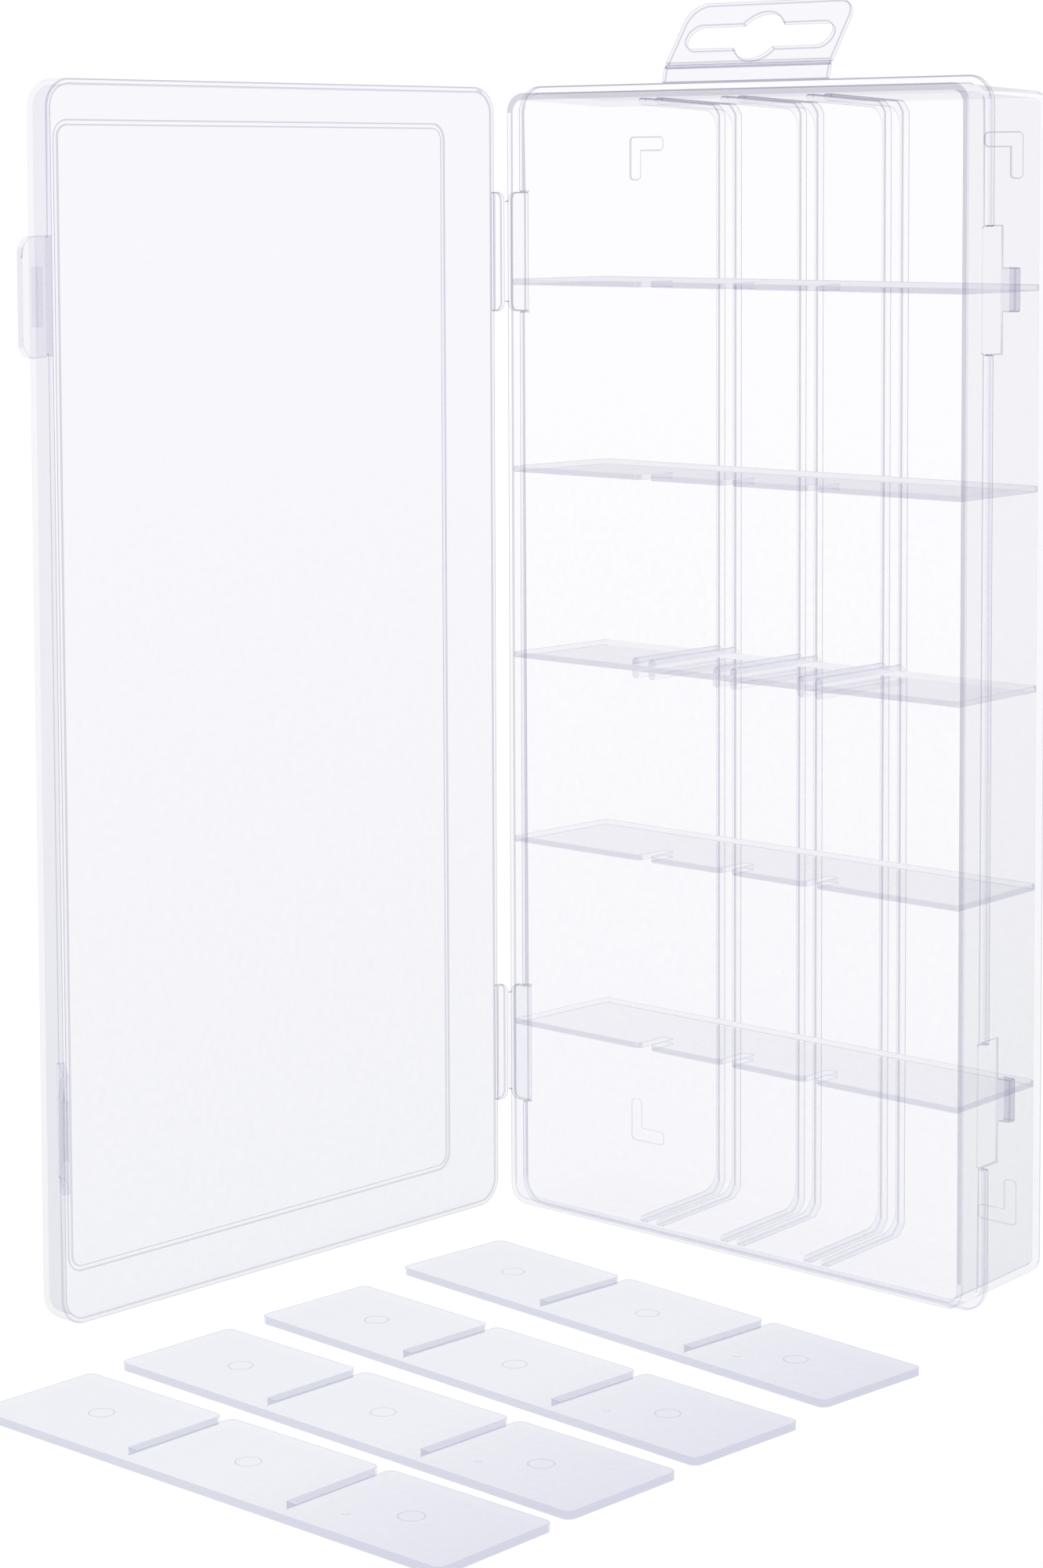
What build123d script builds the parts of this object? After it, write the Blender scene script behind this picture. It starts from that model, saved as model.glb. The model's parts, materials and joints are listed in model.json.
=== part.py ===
"""Clear hinged parts box standing open on its end, with four loose dividers beside it.

Millimetres. X runs across the tray, Y from the lid side to the tray's back, Z along the box.
The origin is the middle of the flange's lower edge, on the plane where lid and tray meet.
"""
from build123d import *
import math
import os

# Tray
RIM_WIDTH = 102.0
RIM_LENGTH = 204.4
RIM_CORNER = 3.5
RIM_PROUD = 4.6
TRAY_DEPTH = 25.6
TRAY_WALL = 1.2
DRAFT = 1.1
BACK_FILLET = 2.0
FLOOR_FILLET = 1.0

# Flange round the tray, where the lid lands
FLANGE_PROUD = 1.3
FLANGE_THICK = 1.1
FLANGE_CORNER = 4.8

# Cross walls
ROWS = 6
ROW_PITCH = 34.07
CROSS_WALL = 1.1
NOTCH_DEPTH = 6.7
NOTCH_WIDTH = 2.2
NOTCH_LIP = 0.8

# Paired rails that hold the dividers
CHANNEL_PITCH = 18.6
RAIL_WIDTH = 1.6
RAIL_GAP = 2.2
RAIL_HEIGHT = 1.3
RAIL_BEND = 4.5
RAIL_SHORT_OF_RIM = 2.0

# Dividers
DIVIDER_THICK = 1.3
DIVIDER_CLEARANCE = 0.1
DIVIDER_SHORT_OF_RIM = 0.6
DIVIDER_SLOT = 1.9
DIVIDER_CORNER = 1.5
DIVIDER_SLOT_SPARE = 1.9
SWING_CLEARANCE = 0.15

# Where each divider lies: its middle in X and Y, and its turn in degrees
DIVIDER_PLACES = [(9.7, -36.2, -4.2), (11.0, -70.7, -2.9), (11.3, -101.2, -1.3), (11.8, -130.3, 0.2)]

# Corner feet on the tray's back
FOOT_ARM = 8.1
FOOT_WIDTH = 2.7
FOOT_HEIGHT = 0.5
FOOT_ROUND = 0.9
FOOT_INSET_X = 7.1
FOOT_INSET_Z = 7.7

# Catches on the right wall
CATCH_LENGTH = 7.4
CATCH_START = 5.85
CATCH_DEPTH = 2.15
CATCH_PROUD = 2.2
CATCH_SLOPE = 0.55
LATCH_GAP = 21.0
LATCH_RECESS = 0.35

# Lid
LID_INSET = 0.1
LID_GAP = 0.06
LID_HEADROOM = 0.15
SKIRT_WALL = 1.0
PANEL = 1.2
PANEL_EDGE = 1.5
RIDGE_INSET = 6.5
RIDGE_WIDTH = 1.05
RIDGE_HEIGHT = 0.6
RIDGE_CORNER = 3.0
LID_OPEN_ANGLE = 91.1

# Living hinges between tray and lid
HINGE_OFFSET = 73.5
LEAF_LENGTH = 21.8
LEAF_REACH = 3.12
LEAF_THICK = 1.0
LEAF_CORNER = 1.6
FILM_RADIUS = 0.28
FILM_CLEARANCE = 0.06

# Latch flaps
FLAP_LENGTH = 19.6
FLAP_PLATE = 8.9
FLAP_LIP = 4.0
FLAP_LIP_FLARE = 15.0
FLAP_THICK = 1.0
FLAP_CORNER = 3.5
FLAP_ROOT = 0.12
SLOT_SIDE_ROOM = 1.0
SLOT_END_ROOM = 0.3
UPPER_FLAP_ANGLE = 34.0
LOWER_FLAP_ANGLE = 55.0

# Hang tab
TAB_WIDTH = 36.6
TAB_ROOT_HEIGHT = 2.9
TAB_ROOT_LEAN = 14.3
TAB_LEAN = 34.7
TAB_REACH = 13.4
TAB_THICK = 0.9
TAB_FOLD_GAP = 0.45
TAB_CORNER = 4.0
HANG_SLOT_LENGTH = 32.0
HANG_SLOT_HEIGHT = 5.0
HANG_EYE_RADIUS = 5.0
HANG_SLOT_UP = 6.0

# Worked out from the sizes above
MARGIN = 20.0
FLANGE_WIDTH = RIM_WIDTH + 2 * FLANGE_PROUD
FLANGE_LENGTH = RIM_LENGTH + 2 * FLANGE_PROUD
MID_Z = FLANGE_LENGTH / 2
RIM_Y = -RIM_PROUD
BACK_Y = TRAY_DEPTH - RIM_PROUD
FLOOR_Y = BACK_Y - TRAY_WALL
TAPER = math.degrees(math.atan(DRAFT / TRAY_DEPTH))
LATCH_OFFSET = 2 * ROW_PITCH
CHANNELS = [-CHANNEL_PITCH, 0.0, CHANNEL_PITCH]
LID_WIDTH = FLANGE_WIDTH
LID_LENGTH = FLANGE_LENGTH - 2 * LID_INSET
PANEL_Y = RIM_Y - LID_HEADROOM
LID_Y = PANEL_Y - PANEL
FOLD_X = -FLANGE_WIDTH / 2 - LEAF_REACH
FLAP_X = LID_WIDTH / 2
DIVIDER_TOP = -SWING_CLEARANCE


def draft_at(y):
    """How far a drafted wall has moved in, at a depth y."""
    return (y - RIM_Y) * DRAFT / TRAY_DEPTH


def plate_plane(y):
    """A plane across the box at depth y, facing the back."""
    return Plane(origin=(0, y, MID_Z), x_dir=(1, 0, 0), z_dir=(0, 1, 0))


def rounded_prism(width, length, corner, y_from, y_to, taper=0.0):
    """A rounded rectangle, width in X and length in Z, run along Y."""
    outline = plate_plane(y_from) * RectangleRounded(width, length, corner)
    return extrude(outline, amount=y_to - y_from, taper=taper)


def block(x0, x1, y0, y1, z0, z1):
    """A box between two corners."""
    middle = ((x0 + x1) / 2, (y0 + y1) / 2, (z0 + z1) / 2)
    return Pos(*middle) * Box(x1 - x0, y1 - y0, z1 - z0)


def prism_along_z(points, z0, z1):
    """A polygon in X and Y, run along Z."""
    outline = make_face(Polyline(*points, close=True))
    return Pos(0, 0, z0) * extrude(outline, amount=z1 - z0, dir=(0, 0, 1))


def edges_at_y(solid, y):
    """The edges that lie at one depth."""
    return [e for e in solid.edges() if abs(e.center().Y - y) < 1e-4 and e.bounding_box().size.Y < 1e-4]


def tray_outside():
    """The tray's outer skin as a full solid."""
    body = rounded_prism(RIM_WIDTH, RIM_LENGTH, RIM_CORNER, RIM_Y, BACK_Y, TAPER)
    return fillet(edges_at_y(body, BACK_Y), BACK_FILLET)


def tray_inside():
    """The space inside the tray's walls, from the rim's plane to the floor."""
    width = RIM_WIDTH - 2 * TRAY_WALL
    length = RIM_LENGTH - 2 * TRAY_WALL
    body = rounded_prism(width, length, RIM_CORNER - TRAY_WALL, RIM_Y, FLOOR_Y, TAPER)
    return fillet(edges_at_y(body, FLOOR_Y), FLOOR_FILLET)


def flange_ring():
    """The lip that the lid lands on, open at the latches and the hinge leaves."""
    ring = rounded_prism(FLANGE_WIDTH, FLANGE_LENGTH, FLANGE_CORNER, 0, FLANGE_THICK)
    for side in (-1, 1):
        latch_z = MID_Z + side * LATCH_OFFSET
        hinge_z = MID_Z + side * HINGE_OFFSET
        wall_x = RIM_WIDTH / 2 - TRAY_WALL
        ring -= block(wall_x, wall_x + MARGIN, -MARGIN, MARGIN, latch_z - LATCH_GAP / 2, latch_z + LATCH_GAP / 2)
        ring -= block(-wall_x - MARGIN, -wall_x, -MARGIN, MARGIN, hinge_z - LEAF_LENGTH / 2, hinge_z + LEAF_LENGTH / 2)
    return ring


def corner_foot(side_x, side_z):
    """One L-shaped foot, its corner towards the tray's corner."""
    corner_x = RIM_WIDTH / 2 - FOOT_INSET_X
    corner_z = RIM_LENGTH / 2 - FOOT_INSET_Z
    inner_x = corner_x - FOOT_ARM
    inner_z = corner_z - FOOT_ARM
    tall = block(corner_x - FOOT_WIDTH, corner_x, BACK_Y, BACK_Y + FOOT_HEIGHT, inner_z, corner_z)
    wide = block(inner_x, corner_x, BACK_Y, BACK_Y + FOOT_HEIGHT, corner_z - FOOT_WIDTH, corner_z)
    foot = tall + wide
    upright = [e for e in foot.edges() if e.bounding_box().size.Y > FOOT_HEIGHT / 2]
    inner_corner = (corner_x - FOOT_WIDTH, corner_z - FOOT_WIDTH)
    outer = [e for e in upright if math.dist((e.center().X, e.center().Z), inner_corner) > 1e-3]
    foot = fillet(outer, FOOT_ROUND)
    if side_x < 0:
        foot = mirror(foot, about=Plane.YZ)
    if side_z < 0:
        foot = mirror(foot, about=Plane.XY)
    return Pos(0, 0, MID_Z) * foot


def wall_x_at(y):
    """The right wall's outer face, at a depth y."""
    return RIM_WIDTH / 2 - draft_at(y)


def catch(z):
    """The block on the right wall that a latch flap's slot snaps over."""
    end = CATCH_START + CATCH_DEPTH
    root = wall_x_at(end) - TRAY_WALL / 2
    face = wall_x_at(CATCH_START) + CATCH_PROUD
    outline = [(root, CATCH_START), (wall_x_at(CATCH_START), CATCH_START),
               (face, CATCH_START + CATCH_SLOPE), (face, end), (root, end)]
    return prism_along_z(outline, z - CATCH_LENGTH / 2, z + CATCH_LENGTH / 2)


def tray_shell(outside, inside):
    """Floor, walls, rim, flange, catches and feet in one piece."""
    shell = outside + flange_ring()
    for side in (-1, 1):
        latch_z = MID_Z + side * LATCH_OFFSET
        z0 = latch_z - LATCH_GAP / 2
        outline = [(wall_x_at(0) - LATCH_RECESS, 0), (RIM_WIDTH, 0), (RIM_WIDTH, CATCH_START),
                   (wall_x_at(CATCH_START) - LATCH_RECESS, CATCH_START)]
        shell -= prism_along_z(outline, z0, z0 + LATCH_GAP)
        shell += catch(latch_z)
    for side_x in (-1, 1):
        for side_z in (-1, 1):
            shell += corner_foot(side_x, side_z)
    return shell - inside


def cross_wall_z(index):
    """The middle plane of one cross wall, counted from 1 at the bottom."""
    return MID_Z + (index - ROWS / 2) * ROW_PITCH


def wall_slab(index):
    """The slice of space that one cross wall fills."""
    z = cross_wall_z(index)
    half = RIM_WIDTH / 2 + MARGIN
    return block(-half, half, RIM_Y, BACK_Y, z - CROSS_WALL / 2, z + CROSS_WALL / 2)


def notch(x, z):
    """The cut in a cross wall's front edge that a divider drops through."""
    cut = block(x - NOTCH_WIDTH / 2, x + NOTCH_WIDTH / 2, RIM_Y - MARGIN, RIM_Y + NOTCH_DEPTH,
                z - MARGIN / 2, z + MARGIN / 2)
    flare = NOTCH_WIDTH / 2 + NOTCH_LIP
    mouth = [(x - flare, RIM_Y), (x + flare, RIM_Y), (x + NOTCH_WIDTH / 2, RIM_Y + NOTCH_LIP),
             (x - NOTCH_WIDTH / 2, RIM_Y + NOTCH_LIP)]
    return cut + prism_along_z(mouth, z - MARGIN / 2, z + MARGIN / 2)


def rail_path(x):
    """The line that a rail follows: up one end wall, along the floor and back up the other."""
    off = RAIL_HEIGHT - RAIL_WIDTH / 2
    half = RIM_LENGTH / 2 - TRAY_WALL - off
    front = RIM_Y + RAIL_SHORT_OF_RIM
    floor = FLOOR_Y - off
    points = [(x, front, MID_Z - half + draft_at(front)), (x, floor, MID_Z - half + draft_at(floor)),
              (x, floor, MID_Z + half - draft_at(floor)), (x, front, MID_Z + half - draft_at(front))]
    return FilletPolyline(*points, radius=RAIL_BEND)


def rail_section(path):
    """A rail's section at the start of its path: round top, straight root."""
    start = Plane(origin=path @ 0, x_dir=(1, 0, 0), z_dir=path % 0)
    root = RAIL_HEIGHT
    top = Circle(RAIL_WIDTH / 2)
    base = Pos(0, root / 2) * Rectangle(RAIL_WIDTH, root)
    other = Pos(0, -root / 2) * Rectangle(RAIL_WIDTH, root)
    # The root points to the end wall, which lies below the path's start.
    below = (start * base).center().Z < (start * other).center().Z
    return start * (top + (base if below else other))


def channel_rails(x, inside, slabs):
    """Both rails of one channel, cut where the cross walls stand."""
    pieces = []
    for side in (-1, 1):
        path = rail_path(x + side * (RAIL_GAP + RAIL_WIDTH) / 2)
        rail = sweep(rail_section(path), path=path) & inside
        for slab in slabs:
            rail -= slab
        pieces += rail.solids()
    return Compound(children=pieces)


def face_rail(x, z, side):
    """One rail up a face of the middle cross wall, from the floor to the front edge."""
    top_z = z + side * (CROSS_WALL / 2 + RAIL_HEIGHT - RAIL_WIDTH / 2)
    bar = block(x - RAIL_WIDTH / 2, x + RAIL_WIDTH / 2, RIM_Y, BACK_Y, min(z, top_z), max(z, top_z))
    nose = Pos(x, (RIM_Y + BACK_Y) / 2, top_z) * Rot(90, 0, 0) * Cylinder(RAIL_WIDTH / 2, BACK_Y - RIM_Y)
    return bar + nose


def cross_wall(index, inside, rails):
    """One fixed cross wall. The middle one has rails, the others have notches."""
    z = cross_wall_z(index)
    wall = wall_slab(index) & inside
    if index == ROWS // 2:
        for x in CHANNELS:
            for side_x in (-1, 1):
                for side_z in (-1, 1):
                    bar = face_rail(x + side_x * (RAIL_GAP + RAIL_WIDTH) / 2, z, side_z) & inside
                    for rail in rails:
                        bar -= rail
                    wall += bar
    else:
        for x in CHANNELS:
            wall -= notch(x, z)
    return wall


def hinge_leaf_plate(z, near, far):
    """A leaf's plate in plan, with its fold-side corners rounded."""
    plate = Pos((near + far) / 2, 0, z) * Box(abs(far - near), LEAF_THICK, LEAF_LENGTH)
    outer = [e for e in plate.edges() if e.bounding_box().size.Y > LEAF_THICK / 2
             and abs(e.center().X - min(near, far)) < 1e-4]
    return fillet(outer, LEAF_CORNER)


def tray_leaf(z, outside):
    """The tray's half of a living hinge, with the film that the fold turns about."""
    nose = FOLD_X + FILM_RADIUS
    plate = Pos(0, LEAF_THICK / 2, 0) * hinge_leaf_plate(z, -RIM_WIDTH / 2 + TRAY_WALL / 2, nose)
    film = Pos(FOLD_X, 0, z) * Cylinder(FILM_RADIUS, LEAF_LENGTH - 2 * LEAF_CORNER)
    web = block(FOLD_X, FOLD_X + 2 * LEAF_CORNER, 0, FILM_RADIUS, z - LEAF_LENGTH / 2 + LEAF_CORNER,
                z + LEAF_LENGTH / 2 - LEAF_CORNER)
    return plate + film + web - outside


def lid_leaf(z, lid_outside):
    """The lid's half of a living hinge, in the closed pose."""
    nose = FOLD_X + FILM_RADIUS + FILM_CLEARANCE
    plate = Pos(0, -LID_GAP - LEAF_THICK / 2, 0) * hinge_leaf_plate(z, -LID_WIDTH / 2 + SKIRT_WALL / 2, nose)
    return plate - lid_outside


def lid_outside():
    """The closed lid's outer skin as a full solid, with its stacking ridge."""
    body = rounded_prism(LID_WIDTH, LID_LENGTH, FLANGE_CORNER, LID_Y, -LID_GAP)
    body = fillet(edges_at_y(body, LID_Y), PANEL_EDGE)
    ridge_width = LID_WIDTH - 2 * RIDGE_INSET
    ridge_length = LID_LENGTH - 2 * RIDGE_INSET
    ridge = rounded_prism(ridge_width, ridge_length, RIDGE_CORNER, LID_Y - RIDGE_HEIGHT, LID_Y)
    ridge -= rounded_prism(ridge_width - 2 * RIDGE_WIDTH, ridge_length - 2 * RIDGE_WIDTH,
                           RIDGE_CORNER - RIDGE_WIDTH, LID_Y - RIDGE_HEIGHT, LID_Y)
    return body + ridge


def flap_film(z):
    """The film on the lid's free edge that a latch flap turns about, in the closed pose."""
    film = Pos(FLAP_X, -LID_GAP - FILM_RADIUS, z)
    return film * Cylinder(FILM_RADIUS, FLAP_LENGTH - 2 * FLAP_ROOT)


def lid_shell(outside):
    """Panel and skirt, in the closed pose."""
    hollow = rounded_prism(LID_WIDTH - 2 * SKIRT_WALL, LID_LENGTH - 2 * SKIRT_WALL,
                           FLANGE_CORNER - SKIRT_WALL, PANEL_Y, MARGIN)
    shell = outside - hollow
    for side in (-1, 1):
        shell += flap_film(MID_Z + side * LATCH_OFFSET)
    return shell


def latch_flap(z):
    """A latch flap in the closed pose: it reaches back along the right wall, over the catch."""
    inner = FLAP_X - FLAP_THICK
    flare = math.radians(FLAP_LIP_FLARE)
    tip_x = FLAP_X + FLAP_LIP * math.sin(flare)
    tip_y = FLAP_PLATE + FLAP_LIP * math.cos(flare)
    outline = [(inner, FLAP_ROOT), (FLAP_X, FLAP_ROOT), (FLAP_X, FLAP_PLATE), (tip_x, tip_y),
               (tip_x - FLAP_THICK * math.cos(flare), tip_y + FLAP_THICK * math.sin(flare)),
               (inner, FLAP_PLATE + FLAP_THICK * math.tan(flare / 2))]
    plate = prism_along_z(outline, z - FLAP_LENGTH / 2, z + FLAP_LENGTH / 2)
    blank = block(FLAP_X - MARGIN, FLAP_X + MARGIN, FLAP_ROOT, tip_y + FLAP_THICK * math.sin(flare),
                  z - FLAP_LENGTH / 2, z + FLAP_LENGTH / 2)
    free = [e for e in blank.edges() if e.bounding_box().size.X > MARGIN and e.center().Y > FLAP_PLATE]
    plate &= fillet(free, FLAP_CORNER)
    half = CATCH_LENGTH / 2 + SLOT_SIDE_ROOM
    plate -= block(FLAP_X - MARGIN, FLAP_X + MARGIN, CATCH_START - SLOT_END_ROOM,
                   CATCH_START + CATCH_DEPTH + SLOT_END_ROOM, z - half, z + half)
    return plate


def turn_about(x, y, angle):
    """A turn about a line along Z, by the right-hand rule."""
    return Pos(x, y, 0) * Rot(0, 0, angle) * Pos(-x, -y, 0)


def leaning_plane(y, z, lean):
    """A plane whose Y axis leans back from upright, and whose normal faces the front."""
    up = (0, math.sin(math.radians(lean)), math.cos(math.radians(lean)))
    return Plane(origin=(0, y, z), x_dir=(1, 0, 0), z_dir=Vector(1, 0, 0).cross(Vector(*up)))


TAB_ROOT_Y = FLANGE_THICK / 2
TAB_FOLD_Y = TAB_ROOT_Y + TAB_ROOT_HEIGHT * math.sin(math.radians(TAB_ROOT_LEAN))
TAB_FOLD_Z = FLANGE_LENGTH + TAB_ROOT_HEIGHT * math.cos(math.radians(TAB_ROOT_LEAN))


def hang_tab_root():
    """The fixed strip on the flange's top edge, with the film that the tab folds about."""
    plane = leaning_plane(TAB_ROOT_Y, FLANGE_LENGTH, TAB_ROOT_LEAN)
    height = TAB_ROOT_HEIGHT - FILM_RADIUS / 2
    strip = plane * Pos(0, height / 2 - TAB_THICK / 2, 0) * Box(TAB_WIDTH, height + TAB_THICK, TAB_THICK)
    film = Pos(0, TAB_FOLD_Y, TAB_FOLD_Z) * Rot(0, 90, 0) * Cylinder(FILM_RADIUS, TAB_WIDTH)
    half = TAB_WIDTH / 2 + MARGIN
    below = block(-half, half, -MARGIN, MARGIN, FLANGE_LENGTH - MARGIN, FLANGE_LENGTH)
    return strip + film - below


def hang_slot():
    """The hanging slot's outline: a round eye with an arm on each side."""
    return SlotOverall(HANG_SLOT_LENGTH, HANG_SLOT_HEIGHT) + Circle(HANG_EYE_RADIUS)


def hang_tab():
    """The tab above its fold, leaning back."""
    outline = Pos(0, (TAB_FOLD_GAP + TAB_REACH) / 2) * Rectangle(TAB_WIDTH, TAB_REACH - TAB_FOLD_GAP)
    top = [v for v in outline.vertices() if v.Y > TAB_REACH / 2]
    outline = fillet(top, TAB_CORNER)
    outline -= Pos(0, HANG_SLOT_UP) * hang_slot()
    plane = leaning_plane(TAB_FOLD_Y, TAB_FOLD_Z, TAB_LEAN)
    return extrude(plane * outline, amount=TAB_THICK / 2, both=True)


def divider():
    """One divider, lying flat, its slots open to the back, its end for the end wall at the left."""
    end_wall = RIM_LENGTH / 2 - TRAY_WALL - draft_at(FLOOR_Y)
    length = end_wall - CROSS_WALL / 2 - 2 * DIVIDER_CLEARANCE
    height = FLOOR_Y - RIM_Y - DIVIDER_SHORT_OF_RIM
    slot_depth = FLOOR_Y - RIM_Y - NOTCH_DEPTH + DIVIDER_SLOT_SPARE
    plate = Rectangle(length, height)
    for row in (1, 2):
        x = end_wall - row * ROW_PITCH - DIVIDER_CLEARANCE - length / 2
        plate -= Pos(x, height / 2 - slot_depth / 2) * Rectangle(DIVIDER_SLOT, slot_depth)
    corners = [v for v in plate.vertices() if abs(abs(v.Y) - height / 2) < 1e-4]
    plate = fillet(corners, DIVIDER_CORNER)
    return Pos(0, 0, DIVIDER_TOP - DIVIDER_THICK) * extrude(plate, amount=DIVIDER_THICK)


def build():
    """Every node by name, at rest."""
    outside = tray_outside()
    inside = tray_inside()
    slabs = [wall_slab(index) for index in range(1, ROWS)]
    rails = [channel_rails(x, inside, slabs) for x in CHANNELS]
    nodes = {"tray_shell": tray_shell(outside, inside)}
    for index in range(1, ROWS):
        nodes[f"cross_wall_{index}"] = cross_wall(index, inside, rails)
    for name, rail in zip(("left", "middle", "right"), rails):
        nodes[f"divider_rails_{name}"] = rail

    lid_skin = lid_outside()
    open_lid = turn_about(FOLD_X, 0, -LID_OPEN_ANGLE)
    nodes["lid_shell"] = open_lid * lid_shell(lid_skin)
    for name, side, angle in (("upper", 1, UPPER_FLAP_ANGLE), ("lower", -1, LOWER_FLAP_ANGLE)):
        hinge_z = MID_Z + side * HINGE_OFFSET
        nodes[f"{name}_hinge_tray_leaf"] = tray_leaf(hinge_z, outside)
        nodes[f"{name}_hinge_lid_leaf"] = open_lid * lid_leaf(hinge_z, lid_skin)
        open_flap = turn_about(FLAP_X, -LID_GAP - FILM_RADIUS, angle - 90)
        nodes[f"{name}_latch_flap"] = open_lid * open_flap * latch_flap(MID_Z + side * LATCH_OFFSET)
    nodes["hang_tab_root"] = hang_tab_root()
    nodes["hang_tab"] = hang_tab()
    plain = divider()
    for number, (x, y, turn) in enumerate(DIVIDER_PLACES, start=1):
        nodes[f"divider_{number}"] = Pos(x, y, 0) * Rot(0, 0, turn) * plain
    return nodes


os.makedirs("parts", exist_ok=True)
for node_name, shape in build().items():
    export_step(shape, f"parts/{node_name}.step")
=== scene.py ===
"""Looks for the clear parts box: clear lilac plastic, white floor and soft studio light."""
import bmesh
import bpy
import json
import math
from mathutils import Matrix, Vector
from mathutils.bvhtree import BVHTree


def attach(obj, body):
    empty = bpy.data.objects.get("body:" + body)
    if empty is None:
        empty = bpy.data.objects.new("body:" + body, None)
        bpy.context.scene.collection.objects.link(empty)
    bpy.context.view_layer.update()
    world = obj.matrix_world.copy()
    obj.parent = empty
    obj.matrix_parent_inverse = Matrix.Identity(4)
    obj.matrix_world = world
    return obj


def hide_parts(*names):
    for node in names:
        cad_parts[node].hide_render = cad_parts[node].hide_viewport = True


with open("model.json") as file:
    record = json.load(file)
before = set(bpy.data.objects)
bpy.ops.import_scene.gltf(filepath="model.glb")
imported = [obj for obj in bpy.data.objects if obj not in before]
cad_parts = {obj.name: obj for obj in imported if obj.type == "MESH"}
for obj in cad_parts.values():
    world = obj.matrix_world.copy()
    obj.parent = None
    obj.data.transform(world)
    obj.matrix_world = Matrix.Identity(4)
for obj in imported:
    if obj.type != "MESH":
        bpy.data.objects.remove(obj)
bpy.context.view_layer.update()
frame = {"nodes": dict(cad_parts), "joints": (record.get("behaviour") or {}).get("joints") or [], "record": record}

MM = 0.001

BODY_OF = {}
for body_name, node_names in frame["record"]["behaviour"]["bodies"].items():
    for node_name in node_names:
        BODY_OF[node_name] = body_name


# Places on the box in millimetres, with x to its right, y to its back and z up

JOINTS = {joint["name"]: joint for joint in frame["joints"]}


def joint_place(name):
    """A point on a joint's axis, in millimetres."""
    return [value / MM for value in JOINTS[name]["pos_m"]]


def corners(node):
    """The least and the greatest corner of a CAD node's box, in millimetres."""
    source = frame["nodes"][node]
    places = [source.matrix_world @ vert.co / MM for vert in source.data.vertices]
    return [[pick(values) for values in zip(*places)] for pick in (min, max)]


# Tray: its rim, the flange round it, the feet on its back and the right side that the camera sees
(LEFT, RIM_FRONT, _), (_, FEET_BACK, TOP) = corners("tray_shell")
FLANGE_HALF = -LEFT
FLANGE_REACH = 1.3
FLANGE_BACK = 1.2
FLANGE_ROOT = 0.5
RIM_HALF = FLANGE_HALF - FLANGE_REACH
RIM_TOP = TOP - FLANGE_REACH
RIM_STRIP = 3.5
LOW_END = 6.0
FOOT_HEIGHT = 0.5
BACK = FEET_BACK - FOOT_HEIGHT
RIGHT_PART = 45.0
RIGHT_OUTSIDE = 50.2

# Lid
FOLD_LINE, _, MIDDLE_WALL = joint_place("lid_hinge")
LID_OPEN = math.radians(JOINTS["lid_hinge"]["range_deg"][1])
LID_RIM_TOP = 203.0
LID_SKIRT = 95.0

# Cross walls and rails
(_, _, WALL_UNDERSIDE), (_, FLOOR_INSIDE, WALL_TOPSIDE) = corners("cross_wall_1")
LOWEST_WALL = (WALL_UNDERSIDE + WALL_TOPSIDE) / 2
CROSS_WALLS = [LOWEST_WALL + (MIDDLE_WALL - LOWEST_WALL) * step / 2 for step in range(5)]
CROSS_WALL_HALF = (WALL_TOPSIDE - WALL_UNDERSIDE) / 2
CROSS_WALL_FRONT = -4.0
RAIL_FRONT = -2.6

# Catches and their recesses, latch flaps and the hang tab's web
CATCH_HEIGHTS = [joint_place(name)[2] for name in ("lower_latch_hinge", "upper_latch_hinge")]
CATCH_FRONT = 5.8
CATCH_BACK = 8.1
CATCH_HALF = 4.0
RECESS_BACK = 4.0
RECESS_HALF = 10.3
LATCH_HALF = 8.0
LATCH_SLOT_AREA = 16.0
WEB_RADIUS = 0.42
WEB_LENGTH = 36.2

# How the loose dividers are turned on the floor, and the moulding marks on their tops
DIVIDER_TURNS = (-4.2, -2.9, -1.3, 0.2)
MARK_GAP = 0.01
MARK_WIDTH = 0.3
MARK_HEIGHT = 0.06
MARK_STEPS = 40
RING_PLACES = (-33.7, -0.8, 32.9)
RING_RADIUS = 2.0
GATE_PLACE = (25.1, -5.5)
GATE_RADIUS = 0.55
GATE_ARC = (-128, 32)

# How far edges are rounded, how wide a rounding's faces are at most, how close points are welded,
# and how close a face has to be to count as lying at a place
ROUND = 0.26
TAB_ROUND = 0.2
THIN_ROUND = 0.15
SMOOTH_WIDTH = 0.8
WELD_GAP = 0.001
MARK_WELD_GAP = 0.0001
NEAR = 0.1
CLOSE = 0.05

# Angles between faces that count as flat, as an edge to round and as a crease to keep
FLAT_FACES = math.radians(0.5)
FLAT_SLIVER = math.radians(1)
EDGE_TO_ROUND = math.radians(35)
CREASE = math.radians(40)


# Materials

MILKY = (0.86, 0.86, 0.92)
GREY_GRAZE = (0.84, 0.83, 0.87)
VIOLET_GRAZE = (0.58, 0.56, 0.66)
PALE_GRAZE = (0.93, 0.925, 0.95)
PLASTIC_IOR = 1.49
PLASTIC_ROUGHNESS = 0.15
MOTTLE_SCALE = 700.0
FACE_SHARE = 0.012
LINE_SHARE = 0.03
BAR_SHARE = 0.22
FLOOR_GREY = 0.10
FLOOR_ROUGHNESS = 0.9
FLOOR_GLOW = 0.918

# A mix node's sockets when it mixes colours
COLOUR_A, COLOUR_B, COLOUR_OUT = 6, 7, 2


def new_material(name):
    """A material with an empty node tree."""
    material = bpy.data.materials.new(name)
    material.use_nodes = True
    material.node_tree.nodes.clear()
    return material, material.node_tree.nodes, material.node_tree.links


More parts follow.
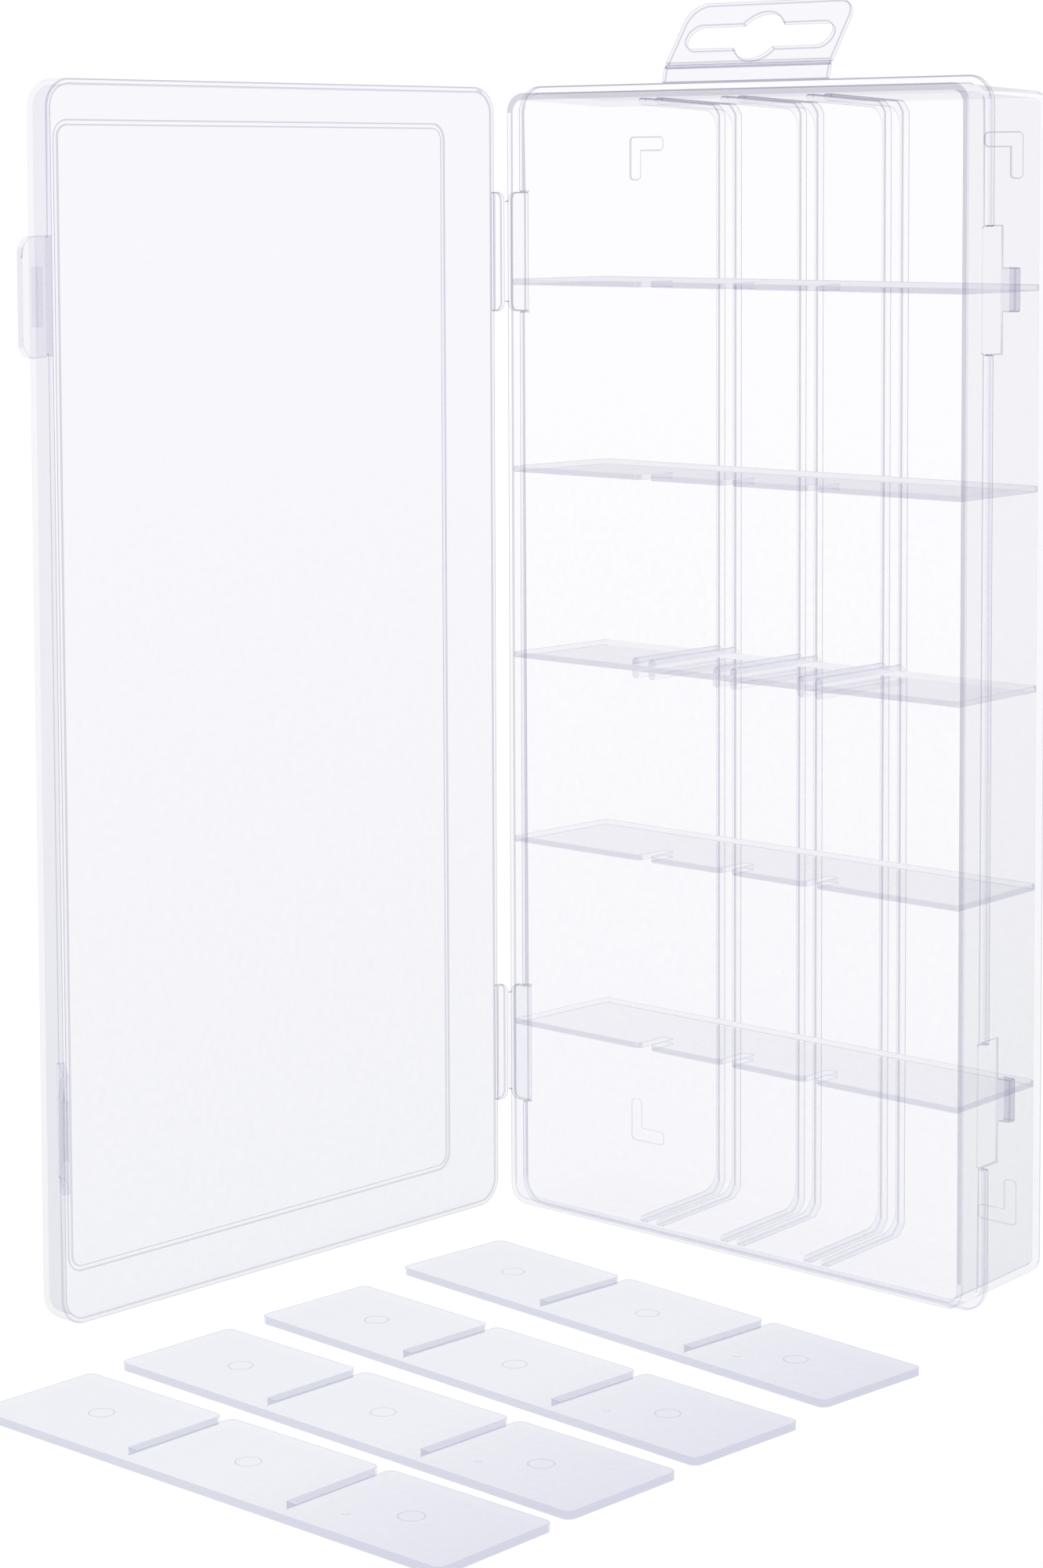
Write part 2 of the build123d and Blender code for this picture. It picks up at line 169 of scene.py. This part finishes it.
def mixed_tint(nodes, links, near, far, axis, start, end, grain):
    """A colour that drifts from near to far along one axis, in millimetres, as painted shade, with a fine mottle
    of the plastic's own.
    """
    place = nodes.new("ShaderNodeTexCoord")
    split = nodes.new("ShaderNodeSeparateXYZ")
    links.new(place.outputs["Object"], split.inputs["Vector"])
    shade_drift = nodes.new("ShaderNodeMapRange")
    shade_drift.clamp = False
    shade_drift.inputs["From Min"].default_value = start * MM
    shade_drift.inputs["From Max"].default_value = end * MM
    links.new(split.outputs[axis], shade_drift.inputs["Value"])
    mottle = nodes.new("ShaderNodeTexNoise")
    mottle.inputs["Scale"].default_value = MOTTLE_SCALE
    mottle.inputs["Detail"].default_value = 1.0
    links.new(place.outputs["Object"], mottle.inputs["Vector"])
    spread = nodes.new("ShaderNodeMapRange")
    spread.inputs["To Min"].default_value = -grain
    spread.inputs["To Max"].default_value = grain
    links.new(mottle.outputs["Fac"], spread.inputs["Value"])
    both = nodes.new("ShaderNodeMath")
    both.use_clamp = True
    links.new(shade_drift.outputs["Result"], both.inputs[0])
    links.new(spread.outputs["Result"], both.inputs[1])
    blend = nodes.new("ShaderNodeMix")
    blend.data_type = "RGBA"
    blend.inputs[COLOUR_A].default_value = (*near, 1)
    blend.inputs[COLOUR_B].default_value = (*far, 1)
    links.new(both.outputs["Value"], blend.inputs[0])
    return blend.outputs[COLOUR_OUT]


def clear_plastic(name, near, far, grazing, share=FACE_SHARE, axis="Z", start=-30, end=150, power=8.0,
                  grain=0.4):
    """See-through plastic. Its tint drifts from near to far along an axis as painted shade, and turns towards
    grazing where the surface is seen edge on. share is how much of it is the plastic's own milky body."""
    material, nodes, links = new_material(name)
    output = nodes.new("ShaderNodeOutputMaterial")
    facing = nodes.new("ShaderNodeLayerWeight")
    curve = nodes.new("ShaderNodeMath")
    curve.operation = "POWER"
    curve.inputs[1].default_value = power
    links.new(facing.outputs["Facing"], curve.inputs[0])
    tint = nodes.new("ShaderNodeMix")
    tint.data_type = "RGBA"
    tint.inputs[COLOUR_B].default_value = (*grazing, 1)
    links.new(curve.outputs["Value"], tint.inputs[0])
    shade_drift = mixed_tint(nodes, links, near, far, axis, start, end, grain)
    links.new(shade_drift, tint.inputs[COLOUR_A])
    see = nodes.new("ShaderNodeBsdfTransparent")
    links.new(tint.outputs[COLOUR_OUT], see.inputs["Color"])

    solid = nodes.new("ShaderNodeBsdfPrincipled")
    solid.inputs["Base Color"].default_value = (*MILKY, 1)
    solid.inputs["IOR"].default_value = PLASTIC_IOR
    solid.inputs["Roughness"].default_value = PLASTIC_ROUGHNESS
    mix = nodes.new("ShaderNodeMixShader")
    mix.inputs["Fac"].default_value = share
    links.new(see.outputs["BSDF"], mix.inputs[1])
    links.new(solid.outputs["BSDF"], mix.inputs[2])
    links.new(mix.outputs["Shader"], output.inputs["Surface"])
    return material


FLOOR_FACE = clear_plastic("clear_floor", (0.948, 0.950, 0.970), (0.984, 0.982, 0.990), GREY_GRAZE)
# Painted shade: the tray's right side and the lid's skirt get this greyer, darker tint
SHADED_SIDE_FACE = clear_plastic("clear_shaded_side", (0.943, 0.947, 0.949), (0.956, 0.955, 0.966), GREY_GRAZE,
                          start=20, end=110)
LID_FACE = clear_plastic("clear_lid", (0.930, 0.935, 0.954), (0.962, 0.957, 0.980), GREY_GRAZE)
FLAP_FACE = clear_plastic("clear_flap", (0.948, 0.948, 0.958), (0.955, 0.952, 0.965), PALE_GRAZE)
RAIL_FACE = clear_plastic("clear_rail", (0.970, 0.970, 0.980), (0.984, 0.982, 0.990), VIOLET_GRAZE,
                          power=5.0)
WALL_FACE = clear_plastic("clear_cross_wall", (0.984, 0.984, 0.989), (0.966, 0.965, 0.973), GREY_GRAZE,
                          axis="X", start=-50, end=50, grain=0.6)
BAR_FACE = clear_plastic("clear_bar", (0.980, 0.984, 0.992), (0.975, 0.980, 0.992), VIOLET_GRAZE,
                         BAR_SHARE, power=5.0)
CARD_FACE = clear_plastic("clear_divider", (0.929, 0.938, 0.956), (0.882, 0.885, 0.926), GREY_GRAZE,
                          axis="X", start=15, end=60, grain=0.3)
LINE = clear_plastic("clear_round", (0.75, 0.75, 0.79), (0.70, 0.69, 0.75), VIOLET_GRAZE, LINE_SHARE,
                     start=0, end=80)
SOFT_LINE = clear_plastic("clear_soft_round", (0.84, 0.84, 0.88), (0.86, 0.855, 0.895), GREY_GRAZE,
                          LINE_SHARE)
EDGE = clear_plastic("clear_edge", (0.75, 0.76, 0.84), (0.76, 0.76, 0.84), VIOLET_GRAZE, LINE_SHARE)
WALL_EDGE = clear_plastic("clear_wall_edge", (0.79, 0.79, 0.84), (0.80, 0.80, 0.85), VIOLET_GRAZE,
                          LINE_SHARE)


def join_material():
    """For faces inside one moulding, where nothing is to be seen."""
    material, nodes, links = new_material("clear_join")
    output = nodes.new("ShaderNodeOutputMaterial")
    see = nodes.new("ShaderNodeBsdfTransparent")
    links.new(see.outputs["BSDF"], output.inputs["Surface"])
    return material


JOIN = join_material()


def floor_material():
    """Plain white that glows a little, so that it runs into the white room behind."""
    material, nodes, links = new_material("floor_white")
    output = nodes.new("ShaderNodeOutputMaterial")
    paper = nodes.new("ShaderNodeBsdfPrincipled")
    paper.inputs["Base Color"].default_value = (FLOOR_GREY, FLOOR_GREY, FLOOR_GREY, 1)
    paper.inputs["Roughness"].default_value = FLOOR_ROUGHNESS
    paper.inputs["Specular IOR Level"].default_value = 0.0
    paper.inputs["Emission Color"].default_value = (1, 1, 1, 1)
    paper.inputs["Emission Strength"].default_value = FLOOR_GLOW
    links.new(paper.outputs["BSDF"], output.inputs["Surface"])
    return material


# Pieces

FACE_SLOT, LINE_SLOT, EDGE_SLOT, SHADED_SIDE_SLOT, SOFT_SLOT, BAR_SLOT, JOIN_SLOT = range(7)


def add_piece(name, mesh, body, nodes=(), face=FLOOR_FACE, edge=EDGE):
    """Puts a mesh in the scene as a piece of the object that rides on a body."""
    obj = bpy.data.objects.new(name, mesh)
    bpy.context.scene.collection.objects.link(obj)
    for material in (face, LINE, edge, SHADED_SIDE_FACE, SOFT_LINE, BAR_FACE, JOIN):
        mesh.materials.append(material)
    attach(obj, body)
    if nodes:
        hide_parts(*nodes)


def cut_across(bm, place, normal, keep):
    """Cuts the faces that keep picks along a plane, so that each side can have its own slot."""
    faces = [f for f in bm.faces if keep(f.calc_center_median() / MM, f.normal)]
    verts = {v for f in faces for v in f.verts}
    edges = {e for f in faces for e in f.edges}
    bmesh.ops.bisect_plane(bm, geom=[*verts, *edges, *faces], plane_co=Vector(place) * MM, plane_no=normal)


def keep_near(bm, surface, reach):
    """Pulls back any point that the rounding has pushed off the solid's surface."""
    for vert in bm.verts:
        place, _, _, gap = surface.find_nearest(vert.co)
        if gap > reach:
            vert.co = place


def outer_edge(place, convex):
    """Only outer edges are rounded and show as lines."""
    return convex


def is_narrow(face):
    """True for a slim face of a rounding, and not for a sliver of a flat wall."""
    longest = max(face.edges, key=lambda e: e.calc_length())
    flat = len(longest.link_faces) == 2 and longest.calc_face_angle(0) < FLAT_SLIVER
    return not flat and face.calc_area() / longest.calc_length() < SMOOTH_WIDTH * MM


def plain_line(centre, normal):
    """The usual line on a rounded edge."""
    return LINE_SLOT


def low_line(centre, normal):
    """The usual line, made fainter as painted light at the box's lower end, on its lower feet and on its right rim
    and flange.
    """
    low = centre.z < LOW_END
    foot = centre.y > BACK - NEAR and centre.z < MIDDLE_WALL
    rim = centre.x > RIM_HALF - ROUND and centre.y < RIM_FRONT + ROUND
    flange = centre.x > FLANGE_HALF - ROUND and 0 < centre.y < ROUND
    return SOFT_SLOT if low or foot or rim or flange else LINE_SLOT


def soft_line(centre, normal):
    """A fainter line on a rounded edge."""
    return SOFT_SLOT


def far_side(normal):
    """True on a divider's back and left."""
    return normal.y > 0.2 or normal.x < -0.2


def divider_line(centre, normal):
    """A divider's rounded edges; the lower ones at its back and left get the plain face tint, painted light in
    place of the refraction that hides them.
    """
    return FACE_SLOT if far_side(normal) and normal.z < 0.1 else EDGE_SLOT


def refined(node, slot_of, round_by, line_of=plain_line, shows=outer_edge, cuts=()):
    """A CAD node's shape as a moulding: flat faces joined, outer edges rounded, every face in its slot."""
    source = frame["nodes"][node]
    bm = bmesh.new()
    bm.from_mesh(source.data)
    bm.transform(source.matrix_world)
    bmesh.ops.remove_doubles(bm, verts=bm.verts, dist=WELD_GAP * MM)
    bmesh.ops.dissolve_limit(bm, angle_limit=FLAT_FACES, verts=bm.verts, edges=bm.edges)
    sharp = [e for e in bm.edges if len(e.link_faces) == 2 and e.calc_face_angle(0) > EDGE_TO_ROUND
             and shows((e.verts[0].co + e.verts[1].co) / 2 / MM, e.is_convex)]
    surface = BVHTree.FromBMesh(bm)
    bmesh.ops.bevel(bm, geom=sharp, offset=round_by * MM, offset_type="OFFSET", segments=2,
                    profile=0.5, affect="EDGES", clamp_overlap=False, material=LINE_SLOT)
    keep_near(bm, surface, round_by * MM / 2)
    for cut in cuts:
        cut_across(bm, *cut)
    bm.normal_update()
    smooth = [is_narrow(face) for face in bm.faces]
    for face in bm.faces:
        centre = face.calc_center_median() / MM
        if face.material_index == LINE_SLOT:
            face.material_index = line_of(centre, face.normal)
        else:
            face.material_index = slot_of(centre, face.normal, face.calc_area() / MM ** 2)
    mesh = bpy.data.meshes.new(node + "_shape")
    bm.to_mesh(mesh)
    bm.free()
    mesh.set_sharp_from_angle(angle=CREASE)
    mesh.polygons.foreach_set("use_smooth", smooth)
    return mesh


def rim_front(centre, normal):
    """True for the tray's front rim."""
    return centre.y < RIM_FRONT + ROUND and normal.y < -0.5


def near_catch(z, reach):
    """True within reach of a catch's height."""
    return min(abs(z - height) for height in CATCH_HEIGHTS) < reach


def tray_slot(centre, normal, area):
    """The rim has painted shade at its top and right, catches and corners at the right are drawn darker as painted
    shade, and the right side has a greyer tint as painted shade.
    """
    x, y, z = centre
    if rim_front(centre, normal):
        # painted shade on the rim's top and right strips
        shaded_top_or_right = z > RIM_TOP - RIM_STRIP or x > RIM_HALF - RIM_STRIP and z > LOW_END
        return LINE_SLOT if shaded_top_or_right else FACE_SLOT
    # painted shade on the catches
    if x > RIGHT_OUTSIDE and CATCH_FRONT < y < CATCH_BACK and near_catch(z, CATCH_HALF):
        return SOFT_SLOT
    if x > FLANGE_HALF - NEAR and normal.x > 0.5:
        return SHADED_SIDE_SLOT
    # painted shade on the corners at the right
    if x > RIGHT_PART and y > FLANGE_BACK and (normal.x > 0.6 and normal.y > 0.15 or normal.z > 0.7):
        return LINE_SLOT if normal.y > 0.5 and normal.x > 0.6 else SOFT_SLOT
    return SHADED_SIDE_SLOT if x > RIGHT_PART and abs(normal.x) > 0.8 else FACE_SLOT


def tray_edge(place, convex):
    """The tray's outer edges and the root of its flange show, but not the latch recesses' front edge."""
    x, y, z = place
    recess = x > RIGHT_OUTSIDE and y < RECESS_BACK and near_catch(z, RECESS_HALF)
    root = abs(y) < NEAR and (abs(x) > RIM_HALF - FLANGE_ROOT or z > RIM_TOP - FLANGE_ROOT)
    return not recess and (convex or root)


def lid_slot(centre, normal, area):
    """The lid's top rim has painted shade, and the skirt along its free edge a greyer tint as painted shade."""
    x, y, z = centre
    reach = math.cos(LID_OPEN) * (x - FOLD_LINE) - math.sin(LID_OPEN) * y
    depth = math.sin(LID_OPEN) * (x - FOLD_LINE) + math.cos(LID_OPEN) * y
    across = math.cos(LID_OPEN) * normal.x - math.sin(LID_OPEN) * normal.y
    # painted shade on the lid's top rim
    if depth > -ROUND and z > LID_RIM_TOP:
        return EDGE_SLOT
    return SHADED_SIDE_SLOT if reach > LID_SKIRT and abs(across) > 0.8 else FACE_SLOT


def front_face(centre, normal):
    """True for the front edge of a cross wall."""
    return normal.y < -0.9 and centre.y < CROSS_WALL_FRONT


def middle_wall_slot(centre, normal, area):
    """As the other cross walls, with milky rails on its upper face, and all rails faint at their front."""
    if front_face(centre, normal) and abs(centre.z - MIDDLE_WALL) > CROSS_WALL_HALF:
        return SOFT_SLOT
    if normal.z > -0.3 and centre.z > MIDDLE_WALL + CROSS_WALL_HALF + CLOSE and abs(normal.y) < 0.5:
        return BAR_SLOT
    return cross_wall_slot(centre, normal, area)


def middle_wall_edge(place, convex):
    """The outer edges of the middle wall and of the rails on its upper face show."""
    return convex and place.z > MIDDLE_WALL - CROSS_WALL_HALF - CLOSE and place.y < FLOOR_INSIDE - NEAR


def cross_wall_slot(centre, normal, area):
    """A cross wall is dark on its front edge, and has painted shade on its right end."""
    front = normal.y < -0.5 and centre.y < CROSS_WALL_FRONT
    if abs(normal.z) < 0.75 and (front or centre.x > RIGHT_PART):
        return EDGE_SLOT
    return FACE_SLOT


def divider_slot(centre, normal, area):
    """A divider's narrow faces are dark, but at its back and left they get the plain face tint as painted light in
    place of refraction.
    """
    return FACE_SLOT if abs(normal.z) > 0.75 or far_side(normal) else EDGE_SLOT


def latch_slot(centre, normal, area):
    """The upper latch flap, seen face on, has painted shade on the narrow faces of its slot."""
    shaded_slot_wall = area < LATCH_SLOT_AREA and abs(centre.z - CATCH_HEIGHTS[1]) < LATCH_HALF
    return SOFT_SLOT if shaded_slot_wall else FACE_SLOT


def face_only(centre, normal, area):
    """Clear all round: the rounded edges draw the shape."""
    return FACE_SLOT


def near_cross_wall(z):
    """True at the faces of a cross wall."""
    return min(abs(z - height) for height in CROSS_WALLS) < CROSS_WALL_HALF + CLOSE


def rail_slot(centre, normal, area):
    """A rail can't be seen at its root on the floor or at its ends on the cross walls."""
    root = normal.y > 0.9 and abs(centre.y - FLOOR_INSIDE) < CLOSE
    return JOIN_SLOT if root or near_cross_wall(centre.z) else FACE_SLOT


def rail_edge(place, convex):
    """A rail shows its long edges, but not its ends."""
    return convex and place.y > RAIL_FRONT and not near_cross_wall(place.z)


def add_mark(divider, label, middle, top, radius, start=0, end=360):
    """A low ridge along an arc on a divider's top, from start to end in degrees."""
    bm = bmesh.new()
    profile = [(radius - MARK_WIDTH / 2, 0), (radius, MARK_HEIGHT), (radius + MARK_WIDTH / 2, 0)]
    rows = []
    for step in range(MARK_STEPS + 1):
        angle = math.radians(start + (end - start) * step / MARK_STEPS)
        outwards = Vector((math.cos(angle), math.sin(angle)))
        places = [Vector((*(middle + reach * outwards), top + lift)) for reach, lift in profile]
        rows.append([bm.verts.new(place * MM) for place in places])
    for here, there in zip(rows, rows[1:]):
        for k in range(len(profile) - 1):
            bm.faces.new((here[k], here[k + 1], there[k + 1], there[k]))
    bmesh.ops.remove_doubles(bm, verts=bm.verts, dist=MARK_WELD_GAP * MM)
    mesh = bpy.data.meshes.new(f"{divider}_{label}")
    bm.to_mesh(mesh)
    bm.free()
    add_piece(f"{divider}_{label}", mesh, divider, face=SOFT_LINE)


def add_divider_marks():
    """Three faint ejector rings on the top face of each divider, and the small mark of its gate."""
    for number, turn in enumerate(DIVIDER_TURNS, start=1):
        divider = f"divider_{number}"
        low, high = corners(divider)
        middle = (Vector(low[:2]) + Vector(high[:2])) / 2
        top = high[2] + MARK_GAP
        along = Vector((math.cos(math.radians(turn)), math.sin(math.radians(turn))))
        across = Vector((-along.y, along.x))
        for letter, reach in zip("abc", RING_PLACES):
            add_mark(divider, f"ring_{letter}", middle + reach * along, top, RING_RADIUS)
        gate = middle + GATE_PLACE[0] * along + GATE_PLACE[1] * across
        add_mark(divider, "gate_mark", gate, top, GATE_RADIUS, *GATE_ARC)


def add_fold_web():
    """The thin web that the hang tab folds about."""
    bm = bmesh.new()
    fold = Matrix.Translation(JOINTS["hang_tab_fold"]["pos_m"]) @ Matrix.Rotation(math.pi / 2, 4, "Y")
    bmesh.ops.create_cone(bm, cap_ends=True, segments=16, radius1=WEB_RADIUS * MM, radius2=WEB_RADIUS * MM,
                          depth=WEB_LENGTH * MM, matrix=fold)
    mesh = bpy.data.meshes.new("hang_tab_web")
    bm.to_mesh(mesh)
    bm.free()
    add_piece("hang_tab_web", mesh, BODY_OF["hang_tab_root"], face=SOFT_LINE)


# Planes that part the tray's rim and the middle wall's front edge into their slots
RIM_CUTS = [((RIM_HALF - RIM_STRIP, 0, 0), (1, 0, 0), rim_front),
            ((0, 0, RIM_TOP - RIM_STRIP), (0, 0, 1), rim_front),
            ((0, 0, LOW_END), (0, 0, 1), rim_front)]
FRONT_CUTS = [((0, 0, MIDDLE_WALL + side * CROSS_WALL_HALF), (0, 0, 1), front_face) for side in (-1, 1)]

# Each CAD node's piece, with the look that its name calls for
for node_name in frame["nodes"]:
    look = {"slot_of": face_only, "round_by": ROUND}
    face, edge = FLOOR_FACE, EDGE
    if node_name == "tray_shell":
        look.update(slot_of=tray_slot, line_of=low_line, cuts=RIM_CUTS, shows=tray_edge)
    elif node_name == "lid_shell":
        look.update(slot_of=lid_slot)
        face = LID_FACE
    elif node_name.startswith("cross_wall"):
        look.update(slot_of=cross_wall_slot, line_of=soft_line, round_by=THIN_ROUND)
        if node_name == "cross_wall_3":
            look.update(slot_of=middle_wall_slot, shows=middle_wall_edge, cuts=FRONT_CUTS)
        face, edge = WALL_FACE, WALL_EDGE
    elif node_name.startswith("divider_rails"):
        look.update(slot_of=rail_slot, line_of=low_line, shows=rail_edge)
        face = RAIL_FACE
    elif node_name.startswith("divider"):
        look.update(slot_of=divider_slot, line_of=divider_line, round_by=THIN_ROUND)
        face = CARD_FACE
    elif node_name.endswith("latch_flap"):
        look.update(slot_of=latch_slot, line_of=soft_line, round_by=THIN_ROUND)
        face = FLAP_FACE
    elif node_name.startswith("hang_tab"):
        look.update(round_by=TAB_ROUND)
        face = LID_FACE
    add_piece(node_name + "_piece", refined(node_name, **look), BODY_OF[node_name], [node_name], face, edge)

add_divider_marks()
add_fold_web()


# Stage, light and camera, with the lamp's and the floor's sizes in metres and the rest in millimetres

FLOOR_GAP = 0.05
FLOOR_SIZE = 6.0
ROOM_STRENGTH = 1.02
LAMP_PLACE = (0.9, -1.2, 1.4)
LAMP_AIM = (0, 0, 0.1)
LAMP_SIZE = 1.2
LAMP_WATTS = 0.6
CAMERA_PLACE = (400.926, -496.829, 190.098)
CAMERA_AZIMUTH = 42.348
CAMERA_PITCH = 4.527
CAMERA_ROLL = -0.226
CAMERA_LENS = 84.27
CAMERA_SENSOR = 36
CAMERA_SHIFT_Y = -0.2
CAMERA_RANGE = (0.01, 50)


def add_floor():
    """A large pale floor just under the loose dividers."""
    dividers_bottom = corners("divider_1")[0][2]
    bm = bmesh.new()
    bmesh.ops.create_grid(bm, x_segments=1, y_segments=1, size=FLOOR_SIZE)
    mesh = bpy.data.meshes.new("floor")
    bm.to_mesh(mesh)
    bm.free()
    floor = bpy.data.objects.new("floor", mesh)
    floor.location = (0, 0, (dividers_bottom - FLOOR_GAP) * MM)
    mesh.materials.append(floor_material())
    bpy.context.scene.collection.objects.link(floor)


def add_lamp():
    """A soft square lamp."""
    lamp = bpy.data.lights.new("key", "AREA")
    lamp.shape = "SQUARE"
    lamp.size = LAMP_SIZE
    lamp.energy = LAMP_WATTS
    obj = bpy.data.objects.new("key", lamp)
    obj.location = LAMP_PLACE
    obj.rotation_euler = (Vector(LAMP_AIM) - Vector(LAMP_PLACE)).to_track_quat("-Z", "Y").to_euler()
    bpy.context.scene.collection.objects.link(obj)


def add_world():
    """An even white room."""
    world = bpy.data.worlds.new("studio")
    bpy.context.scene.world = world
    world.use_nodes = True
    back = world.node_tree.nodes["Background"]
    back.inputs["Color"].default_value = (1, 1, 1, 1)
    back.inputs["Strength"].default_value = ROOM_STRENGTH


def add_camera():
    """The photograph's viewpoint."""
    data = bpy.data.cameras.new("camera")
    data.lens = CAMERA_LENS
    data.sensor_width = CAMERA_SENSOR
    data.shift_y = CAMERA_SHIFT_Y
    data.clip_start, data.clip_end = CAMERA_RANGE
    azimuth = math.radians(CAMERA_AZIMUTH)
    pitch = math.radians(CAMERA_PITCH)
    roll = math.radians(CAMERA_ROLL)
    ahead = Vector((-math.sin(azimuth) * math.cos(pitch), math.cos(azimuth) * math.cos(pitch),
                    -math.sin(pitch)))
    right = Vector((math.cos(azimuth), math.sin(azimuth), 0))
    up = right.cross(ahead)
    side = math.cos(roll) * right + math.sin(roll) * up
    top = side.cross(ahead)
    turn = Matrix((side, top, -ahead)).transposed()
    camera = bpy.data.objects.new("camera", data)
    camera.matrix_world = Matrix.Translation(Vector(CAMERA_PLACE) * MM) @ turn.to_4x4()
    bpy.context.scene.collection.objects.link(camera)
    bpy.context.scene.camera = camera


add_floor()
add_world()
add_lamp()
add_camera()

scene = bpy.context.scene
scene.view_settings.view_transform = "Standard"
scene.view_settings.look = "None"
scene.cycles.transparent_max_bounces = 96
scene.cycles.max_bounces = 4
scene.cycles.diffuse_bounces = 2
scene.cycles.glossy_bounces = 2
scene.cycles.use_denoising = True
